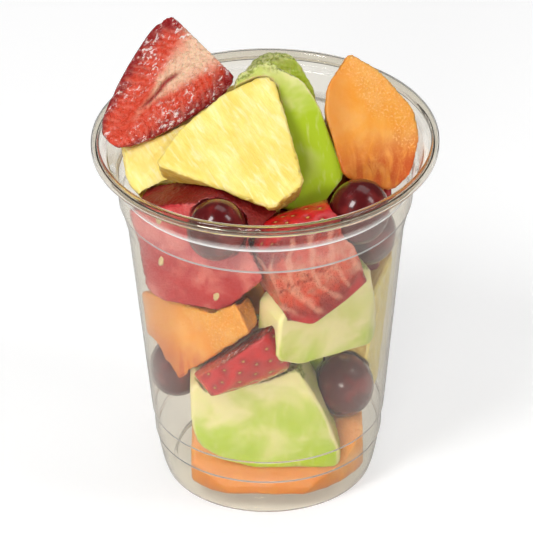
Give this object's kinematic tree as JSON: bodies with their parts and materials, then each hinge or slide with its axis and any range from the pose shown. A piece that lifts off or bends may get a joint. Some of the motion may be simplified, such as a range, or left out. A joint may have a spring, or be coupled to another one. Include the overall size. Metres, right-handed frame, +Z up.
{
  "type": "fruit cup",
  "caption": "Clear plastic cup heaped above its rim with cut strawberry, pineapple, melon and watermelon pieces and whole dark grapes.",
  "frame": {"origin": "middle of the cup's foot, on the surface it stands on", "axes": "+Z up along the cup's axis; -Y towards the shown side of the fruit; +X to the right of that view"},
  "size_m": [0.098, 0.098, 0.1337],
  "materials": {
    "cup": "clear, thin, glossy",
    "strawberry": "wet cut fruit, red skin",
    "pineapple": "wet cut fruit, fibrous",
    "cantaloupe": "wet cut fruit",
    "honeydew": "wet cut fruit",
    "watermelon": "wet cut fruit, grainy",
    "grape": "smooth whole skin"
  },
  "bodies": {
    "root": {"cantaloupe_back": "cantaloupe", "cantaloupe_back_floor": "cantaloupe", "cantaloupe_core": "cantaloupe", "cantaloupe_floor": "cantaloupe", "cantaloupe_left": "cantaloupe", "cantaloupe_top": "cantaloupe", "cup": "cup", "grape_back_left": "grape", "grape_back_right": "grape", "grape_left": "grape", "grape_low_left": "grape", "grape_low_right": "grape", "grape_right": "grape", "grape_upper_right": "grape", "honeydew_back": "honeydew", "honeydew_core": "honeydew", "honeydew_low": "honeydew", "honeydew_right": "honeydew", "honeydew_top": "honeydew", "honeydew_top_back": "honeydew", "pineapple_back_low": "pineapple", "pineapple_back_top": "pineapple", "pineapple_left": "pineapple", "pineapple_right": "pineapple", "pineapple_top": "pineapple", "strawberry_back": "strawberry", "strawberry_back_right": "strawberry", "strawberry_front": "strawberry", "strawberry_left": "strawberry", "strawberry_top": "strawberry", "watermelon_core": "watermelon", "watermelon_left": "watermelon", "watermelon_right_back": "watermelon"}
  },
  "joints": []
}
